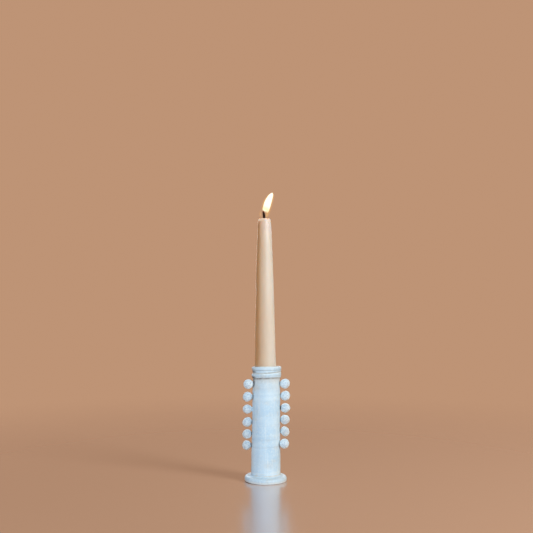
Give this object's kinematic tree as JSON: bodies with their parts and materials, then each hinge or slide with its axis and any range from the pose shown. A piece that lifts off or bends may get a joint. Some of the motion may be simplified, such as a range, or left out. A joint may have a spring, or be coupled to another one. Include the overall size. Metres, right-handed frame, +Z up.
{
  "type": "candlestick",
  "caption": "Hand-built white ceramic candlestick: hollow column with banded rim, rolled balls down both sides and a lit taper candle that lifts out.",
  "frame": {"origin": "centre of the underside of the base, on the surface it stands on", "axes": "+Z up along the column and the candle; the front is -Y; the rows of balls stand at -X and +X"},
  "size_m": [0.0471, 0.0418, 0.2693],
  "materials": {
    "glaze": "matte",
    "bare_clay": "matte",
    "wax": "satin",
    "wick": "matte",
    "flame": "matte"
  },
  "bodies": {
    "holder": {"base_flange": "glaze", "foot_coil": "glaze", "column": "glaze", "rim_band_lower": "glaze", "rim_band_upper": "glaze", "left_ball_1": "glaze", "left_ball_2": "glaze", "left_ball_3": "glaze", "left_ball_4": "glaze", "left_ball_5": "glaze", "left_ball_6": "glaze", "right_ball_1": "glaze", "right_ball_2": "glaze", "right_ball_3": "glaze", "right_ball_4": "glaze", "right_ball_5": "glaze", "right_ball_6": "glaze", "left_slip_joints": "glaze", "right_slip_joints": "glaze", "candle_seat": "bare_clay"},
    "candle": {"candle": "wax", "wick": "wick"}
  },
  "joints": [
    {"name": "candle_lift", "type": "slide", "parent": "holder", "child": "candle", "axis": [0, 0, 1], "range_m": [0, 0.03]}
  ]
}
